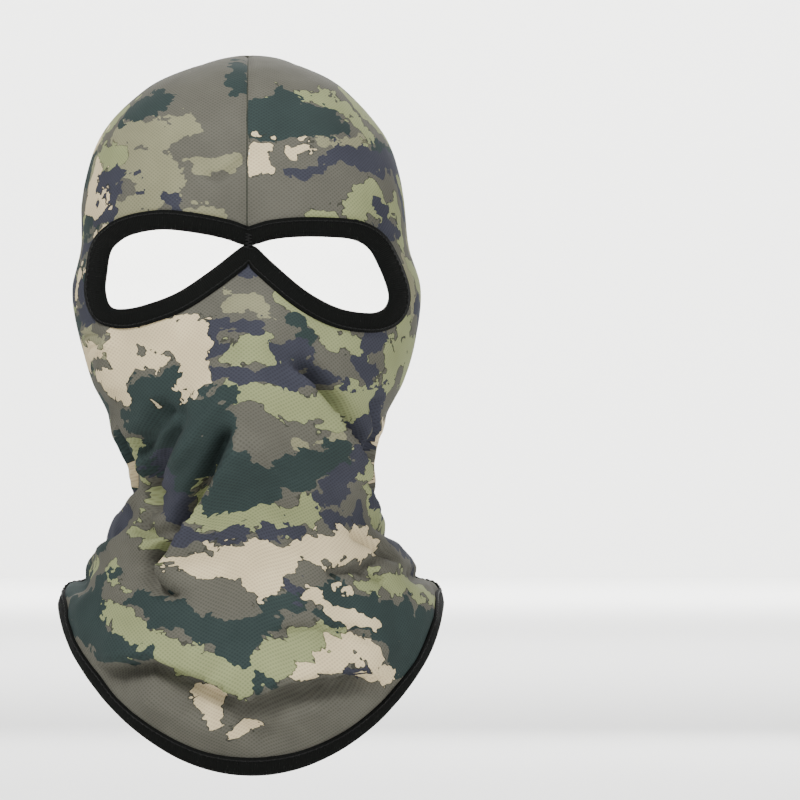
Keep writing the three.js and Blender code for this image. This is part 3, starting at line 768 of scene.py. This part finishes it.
def bareKnit():
    # The unprinted back of the same knit: bright white, matt, with the same rows of cells.
    material, tree = newMaterial("unprinted_white_polyester_knit")
    cells = knitCells(tree)
    # The cells' holes are painted a little darker: painted shade.
    holeShade = addNode(tree, "ShaderNodeMapRange", {"Value": cells, "To Min": 0.93, "To Max": 1.0})
    colour = shaded(tree, toLinear(ink["inside"]), holeShade.outputs["Result"])
    dryFinish(tree, colour, cells, 0.3, 0.2, 0.85, 0.25)
    return material


def bindingTape():
    # Elastic polyamide binding, folded over the edge: near black and dry, with fine cross ribs.
    material, tree = newMaterial("folded_elastic_binding_tape")
    along = addNode(tree, "ShaderNodeAttribute", attribute_name="tapePlace").outputs["Vector"]
    # The real ribs are 0.5 mm apart, too fine to show, so they are drawn 1.1 mm apart.
    ribs = addNode(tree, "ShaderNodeTexWave", {
        "Vector": along, "Scale": 2 * math.pi / (1.1 * 20), "Distortion": 0.6, "Detail": 1.0}).outputs["Fac"]
    fuzz = addNode(tree, "ShaderNodeTexNoise", {"Vector": along, "Scale": 1.4, "Detail": 3.0}).outputs["Fac"]
    # The colour follows the ribs, lighter on their crests as a painted highlight, with random fuzz on top.
    ribHighlightAndFuzz = addNode(tree, "ShaderNodeMath", {0: ribs, 1: 0.5, 2: fuzz}, operation="MULTIPLY_ADD").outputs[0]
    tone = addNode(tree, "ShaderNodeMapRange", {
        "Value": ribHighlightAndFuzz, "To Min": 0.5, "To Max": 1.15}).outputs["Result"]
    colour = addNode(tree, "ShaderNodeMix", {0: tone, 6: toLinear("010201"), 7: toLinear("0a0b0a")},
                     data_type="RGBA").outputs[2]
    dryFinish(tree, colour, ribs, 0.5, 0.25, 0.85, 0.05)
    return material


def threadFinish(name, yarn):
    # Fibres too fine to see singly break up the colour and the surface along the twist.
    # On the black thread the lighter colour is a painted highlight.
    material, tree = newMaterial(name)
    place = addNode(tree, "ShaderNodeTexCoord").outputs["Object"]
    twist = addNode(tree, "ShaderNodeTexNoise", {
        "Vector": place, "Scale": yarn["fineness"], "Detail": yarn["detail"]}).outputs["Fac"]
    colour = addNode(tree, "ShaderNodeMix", {0: twist, 6: toLinear(yarn["dark"]), 7: toLinear(yarn["light"])},
                     data_type="RGBA").outputs[2]
    dryFinish(tree, colour, twist, yarn["relief"], yarn["depth"], yarn["roughness"], yarn["gloss"])
    return material


# Spun polyester, two plies: black, with a soft broken painted highlight along the twist.
sewingYarn = {"fineness": 1500.0, "detail": 2.0, "dark": "020202", "light": "0b0c0b", "relief": 0.4,
              "depth": 0.1, "roughness": 0.65, "gloss": 0.15}
# Textured white yarn for the overlocked seam inside the hood: soft, bulky and matt.
overlockYarn = {"fineness": 900.0, "detail": 3.0, "dark": "c9cac4", "light": "f0f1ec", "relief": 0.5,
                "depth": 0.15, "roughness": 0.85, "gloss": 0.3}
tapeMaterial = bindingTape()
threadMaterial = threadFinish("black_spun_polyester_thread", sewingYarn)


hoodTree = BVHTree.FromPolygons(
    [tuple(p) for p in clothGrid.reshape(-1, 3)],
    [(r * (hood["columns"] + 1) + c, r * (hood["columns"] + 1) + c + 1,
      (r + 1) * (hood["columns"] + 1) + c + 1, (r + 1) * (hood["columns"] + 1) + c)
     for r in range(1, hood["rows"]) for c in range(hood["columns"])])


def clothLength(points):
    # True distances round and down the cloth, for the knit and the print's fringes.
    middle = hood["columns"] // 2
    steps = np.linalg.norm(np.diff(points, axis=1), axis=2)
    around = np.zeros(points.shape[:2])
    around[:, 1:] = np.cumsum(steps, axis=1)
    around -= around[:, middle:middle + 1]
    down = np.zeros(points.shape[:2])
    down[1:] = np.cumsum(np.linalg.norm(np.diff(points, axis=0), axis=2), axis=0)
    return around, down


def buildHood():
    around, down = clothLength(smoothGrid)
    layers = {name: inkDistance(runs, roundGrid, smoothGrid[..., 2]) for name, runs in strokes.items()}
    bm = gridPiece(clothGrid)
    rowCount, columnCount = clothGrid.shape[:2]
    placeLayer = bm.verts.layers.float_vector.new("clothPlace")
    seamLayer = bm.verts.layers.float.new("seamSide")
    seamSide = np.where(smoothGrid[..., 2] > seamGroove["brow"], roundGrid - seamGroove["place"], 50)
    inkLayers = {name: bm.verts.layers.float.new(name + "Ink") for name in strokes}
    # create_grid lists its vertices row by row, from the lowest edge of the grid.
    bm.verts.ensure_lookup_table()
    for index, vert in enumerate(bm.verts):
        row = rowCount - 1 - index // columnCount
        column = index % columnCount
        vert[placeLayer] = Vector((around[row, column], down[row, column], 0))
        vert[seamLayer] = seamSide[row, column]
        for name, layer in inkLayers.items():
            vert[layer] = layers[name][row, column]
    centres = np.array([face.calc_center_median() for face in bm.faces]) / mm
    onFront = centres[:, 1] < -20
    inHole = (distanceToLoop(eyeLoop, centres[:, 0], centres[:, 2]) < hood["cutInset"] + 1) & onFront
    lastRow = set(range(columnCount))
    cut = [face for face, inside in zip(bm.faces, inHole)
           if inside or any(vert.index in lastRow for vert in face.verts)]
    bmesh.ops.delete(bm, geom=cut, context="FACES")
    bmesh.ops.remove_doubles(bm, verts=bm.verts, dist=0.00002)
    outward = sum(face.normal.dot(face.calc_center_median() - Vector((0, 0, -0.15))) for face in bm.faces)
    if outward < 0:
        bmesh.ops.reverse_faces(bm, faces=bm.faces)
    piece = addPiece("camo_hood", bm, [printedKnit(), bareKnit()], "hood_panel", merge=0)
    wall = piece.modifiers.new("clothWall", "SOLIDIFY")
    wall.thickness = hood["thickness"] * mm
    wall.offset = 0
    wall.material_offset = 1
    return piece


hoodPiece = buildHood()
print("hood:", len(hoodPiece.data.polygons), "faces")


farOff = 400        # well clear of the cloth on every side
faceDepth = -60     # about where the face lies, front to back


def onFace(x, z):
    # The cloth's surface behind a point of the front view, with its normal.
    hit, normal, _, _ = hoodTree.ray_cast(Vector((x, -farOff, z)), Vector((0, 1, 0)))
    if hit is None:
        hit, normal, _, _ = hoodTree.find_nearest(Vector((x, faceDepth, z)))
    normal = Vector(normal)
    return Vector(hit), normal if normal.dot(Vector((x * 0.4, faceDepth, 0))) > 0 else -normal


def eyeSurface():
    # Points and normals of the cloth across the width of the binding, at every station.
    shares = np.linspace(0, 1, binding["widthSteps"])
    places, normals = [], []
    for (x, z), (outX, outZ) in zip(eyeLoop, eyeOut):
        rowPlaces, rowNormals = [], []
        for share in shares:
            reach = share * binding["eyeWidth"]
            point, normal = onFace(x + outX * reach, z + outZ * reach)
            rowPlaces.append(tuple(point))
            rowNormals.append(tuple(normal))
        places.append(rowPlaces)
        normals.append(rowNormals)
    places, normals = np.array(places), np.array(normals)
    for _ in range(3):
        normals = normals + np.roll(normals, 1, axis=0) + np.roll(normals, -1, axis=0)
        normals /= np.linalg.norm(normals, axis=-1, keepdims=True)
    places[..., 1] = (np.roll(places, 1, axis=0) + places + np.roll(places, -1, axis=0))[..., 1] / 3
    return places, normals


def hemSurface():
    # The same for the hem: up each column of the hood from its lowest row.
    columns = clothGrid[::-1].transpose(1, 0, 2)[:-1]
    columnNormals = clothNormals[::-1].transpose(1, 0, 2)[:-1]
    shares = np.linspace(0, 1, binding["widthSteps"])
    places, normals = [], []
    for column, normal in zip(columns, columnNormals):
        column, normal = column[:binding["hemSearchRows"]], normal[:binding["hemSearchRows"]]
        run = np.concatenate([[0], np.cumsum(np.linalg.norm(np.diff(column, axis=0), axis=1))])
        wanted = shares * binding["hemWidth"]
        places.append(np.stack([np.interp(wanted, run, column[:, k]) for k in range(3)], -1))
        facing = np.stack([np.interp(wanted, run, normal[:, k]) for k in range(3)], -1)
        normals.append(facing / np.linalg.norm(facing, axis=1, keepdims=True))
    return np.array(places), np.array(normals)


def tapeSection():
    # Share of the tape's width from its fold, and height over the middle of the cloth in millimetres.
    inner = hood["thickness"] / 2 + binding["gap"]
    outer = inner + binding["thickness"]
    shares = np.linspace(0.08, 1, 5)
    crown = binding["puff"] * np.sin(math.pi * np.clip(shares, 0, 1))
    top = list(zip(shares[::-1], (outer + crown)[::-1]))
    fold = [(0.0, outer * 0.75), (-0.07, outer * 0.3), (-0.07, -outer * 0.3), (0.0, -outer * 0.75)]
    under = list(zip(shares, -(outer + crown)))
    back = [(1.0, -inner), (0.5, -inner), (0.12, -inner), (0.12, inner), (0.5, inner), (1.0, inner)]
    return top + fold + under + back


def sweepTape(places, normals, section):
    # The section carried along the surface, closed both ways.
    count = places.shape[1] - 1
    columns = []
    for share, height in section:
        t = share * count
        i = int(np.clip(math.floor(t), 0, count - 1))
        place = places[:, i] + (places[:, i + 1] - places[:, i]) * (t - i)
        normal = normals[:, i] + (normals[:, i + 1] - normals[:, i]) * min(max(t - i, 0), 1)
        normal /= np.linalg.norm(normal, axis=1, keepdims=True)
        columns.append(place + normal * height)
    points = np.stack(columns)
    points = np.concatenate([points, points[:1]], axis=0)
    return np.concatenate([points, points[:, :1]], axis=1)


def buildTape(name, node, places, normals):
    section = tapeSection()
    points = sweepTape(places, normals, section)
    bm = gridPiece(points)
    rowCount, columnCount = points.shape[:2]
    middle = places[:, places.shape[1] // 2]
    steps = np.linalg.norm(np.diff(np.vstack([middle, middle[:1]]), axis=0), axis=1)
    run = np.concatenate([[0], np.cumsum(steps)])
    placeLayer = bm.verts.layers.float_vector.new("tapePlace")
    bm.verts.ensure_lookup_table()
    for index, vert in enumerate(bm.verts):
        row = rowCount - 1 - index // columnCount
        vert[placeLayer] = Vector((run[index % columnCount], row * 1.5, 0))
    return addPiece(name, bm, tapeMaterial, node)


def threadRun(places, normals, share, height, sink, pitch):
    # A lockstitch line: the thread rises between two needle holes and dips into each of them.
    count = places.shape[1] - 1
    t = share * count
    i = min(int(t), count - 1)
    place = places[:, i] + (places[:, i + 1] - places[:, i]) * (t - i)
    normal = normals[:, i]
    closed = np.vstack([place, place[:1]])
    run = np.concatenate([[0], np.cumsum(np.linalg.norm(np.diff(closed, axis=0), axis=1))])
    stitchCount = round(run[-1] / pitch)
    even = np.linspace(0, run[-1], stitchCount * 6, endpoint=False)
    along = np.stack([np.interp(even, run, closed[:, k]) for k in range(3)], -1)
    normalClosed = np.vstack([normal, normal[:1]])
    up = np.stack([np.interp(even, run, normalClosed[:, k]) for k in range(3)], -1)
    up /= np.linalg.norm(up, axis=1, keepdims=True)
    wave = np.abs(np.cos(np.arange(len(even)) / 6 * math.pi)) ** 3
    return along + up * (height - np.sign(height) * sink * wave)[:, None], up


def tube(path, up, radius, closed, sides=6):
    # A round thread along a path, as a grid of rings; an open one ends in a rounded tip.
    if closed:
        ahead = np.roll(path, -1, axis=0) - np.roll(path, 1, axis=0)
    else:
        ahead = np.gradient(path, axis=0)
    ahead /= np.maximum(np.linalg.norm(ahead, axis=1, keepdims=True), 1e-9)
    beside = np.cross(ahead, up)
    beside /= np.maximum(np.linalg.norm(beside, axis=1, keepdims=True), 1e-9)
    over = np.cross(beside, ahead)
    sizes = np.full(len(path), radius)
    if not closed:
        path = np.vstack([path[:1] - ahead[:1] * radius * 0.5, path, path[-1:] + ahead[-1:] * radius * 0.5])
        beside = np.vstack([beside[:1], beside, beside[-1:]])
        over = np.vstack([over[:1], over, over[-1:]])
        sizes = np.concatenate([[0], sizes, [0]])
    rows = []
    for turn in np.linspace(0, 2 * math.pi, sides + 1):
        offset = beside * math.cos(turn) + over * math.sin(turn)
        rows.append(path + offset * sizes[:, None])
    points = np.stack(rows)
    return np.concatenate([points, points[:, :1]], axis=1) if closed else points


def joinTubes(name, tubes, material, node):
    bm = bmesh.new()
    for points in tubes:
        part = gridPiece(points)
        bmesh.ops.remove_doubles(part, verts=part.verts, dist=0.00001)
        bmesh.ops.recalc_face_normals(part, faces=part.faces)
        temporary = bpy.data.meshes.new("strand")
        part.to_mesh(temporary)
        part.free()
        bm.from_mesh(temporary)
        bpy.data.meshes.remove(temporary)
    return addPiece(name, bm, material, node, merge=0)


eyePlaces, eyeNormals = eyeSurface()
hemPlaces, hemNormals = hemSurface()
eyeTape = buildTape("eye_binding_tape", "eye_binding", eyePlaces, eyeNormals)
hemTape = buildTape("hem_binding_tape", "hem_binding", hemPlaces, hemNormals)
print("bindings: eye and hem")

tapeTop = hood["thickness"] / 2 + binding["gap"] + binding["thickness"] + stitches["radius"] * 0.6
for label, places, normals, width in (("eye", eyePlaces, eyeNormals, binding["eyeWidth"]),
                                      ("hem", hemPlaces, hemNormals, binding["hemWidth"])):
    share = 1 - stitches["inset"] / width
    puffHere = binding["puff"] * math.sin(math.pi * share)
    for kind, side in (("needle", 1), ("bobbin", -1)):
        lift = side * (tapeTop + puffHere)
        path, up = threadRun(places, normals, share, lift, stitches["sink"], stitches["pitch"])
        strand = tube(path, up, stitches["radius"], True)
        node = f"{label}_binding_{kind}_thread"
        joinTubes(f"{label}_tape_{kind}_stitches", [strand], threadMaterial, node)
print("stitches: along both bindings")


crownSeam = {"needleSide": 4.3, "overlock": 5.5, "pitch": 3.2, "radius": 0.35, "height": 1.5}


def seamPath(sideways, step):
    # Down the middle of the face from the crown to the brow, and down the back to the nape, on the inside.
    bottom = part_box("crown_seam_needle_thread")[0][2] / mm + 2
    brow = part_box("eye_binding")[1][2] / mm + 2
    middle = hood["columns"] // 2
    front = clothGrid[:, middle][::-1]
    back = clothGrid[:, 0]
    frontNormal, backNormal = clothNormals[:, middle][::-1], clothNormals[:, 0]
    keepFront, keepBack = front[:, 2] > brow, back[:, 2] > bottom
    path = np.vstack([front[keepFront], back[keepBack][1:]])
    normal = np.vstack([frontNormal[keepFront], backNormal[keepBack][1:]])
    run = np.concatenate([[0], np.cumsum(np.linalg.norm(np.diff(path, axis=0), axis=1))])
    even = np.arange(0, run[-1], step)
    path = np.stack([np.interp(even, run, path[:, k]) for k in range(3)], -1)
    normal = np.stack([np.interp(even, run, normal[:, k]) for k in range(3)], -1)
    normal /= np.linalg.norm(normal, axis=1, keepdims=True)
    return path - normal * crownSeam["height"] + np.array([sideways, 0, 0]), normal, even


def buildCrownSeam():
    whiteYarn = threadFinish("white_textured_overlock_yarn", overlockYarn)
    path, normal, _ = seamPath(crownSeam["needleSide"], crownSeam["pitch"] / 4)
    wave = np.abs(np.cos(np.arange(len(path)) / 4 * math.pi))
    line = tube(path + normal * (wave * 0.4)[:, None], normal, crownSeam["radius"], False)
    joinTubes("crown_seam_stitches", [line], whiteYarn, "crown_seam_needle_thread")
    strands = []
    for phase in (0, 0.5):
        path, normal, run = seamPath(0, 0.8)
        zigzag = np.abs(((run / crownSeam["pitch"] + phase) % 1) * 2 - 1) * 2 - 1
        path = path + np.array([1, 0, 0]) * (zigzag * crownSeam["overlock"] / 2)[:, None]
        strands.append(tube(path - normal * 0.7 * phase, normal, crownSeam["radius"], False, sides=5))
    joinTubes("crown_seam_overlock", strands, whiteYarn, "crown_seam_overlock_thread")


buildCrownSeam()
print("crown seam: needle line and overlock")


tacks = {"reach": 3.0, "pitch": 0.85, "radius": 0.36, "lift": 1.75, "steps": 7}


def buildTack(name, node, facing):
    # A ladder of short stitches across a join, lying on the tape at the place of its CAD node.
    low, high = (np.array(corner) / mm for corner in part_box(node))
    centre = (low + high) / 2
    rungs = max(round((high[2] - low[2]) / tacks["pitch"]), 3)
    strands = []
    for k in range(rungs):
        z = low[2] + (k + 0.5) * (high[2] - low[2]) / rungs
        slant = 0.5 if k % 2 else -0.5
        path, ups = [], []
        for t in np.linspace(-1, 1, tacks["steps"]):
            x = centre[0] + t * tacks["reach"] * 0.6
            start = Vector((x, facing * farOff, z + slant * t))
            hit, normal, _, _ = hoodTree.ray_cast(start, Vector((0, -facing, 0)))
            up = Vector((0, facing, 0))
            arch = math.sqrt(max(1 - t * t, 0))
            path.append(tuple(hit + up * (tacks["lift"] - 0.7 * (1 - arch))))
            ups.append(tuple(up))
        strands.append(tube(np.array(path), np.array(ups), tacks["radius"], False))
    joinTubes(name, strands, threadMaterial, node)


buildTack("nose_bridge_bar_tack", "nose_bridge_tack", -1)
buildTack("brow_join_bar_tack", "brow_join_tack", -1)
buildTack("hem_join_bar_tack", "hem_join_tack", 1)
print("bar tacks: bridge, brow and hem")
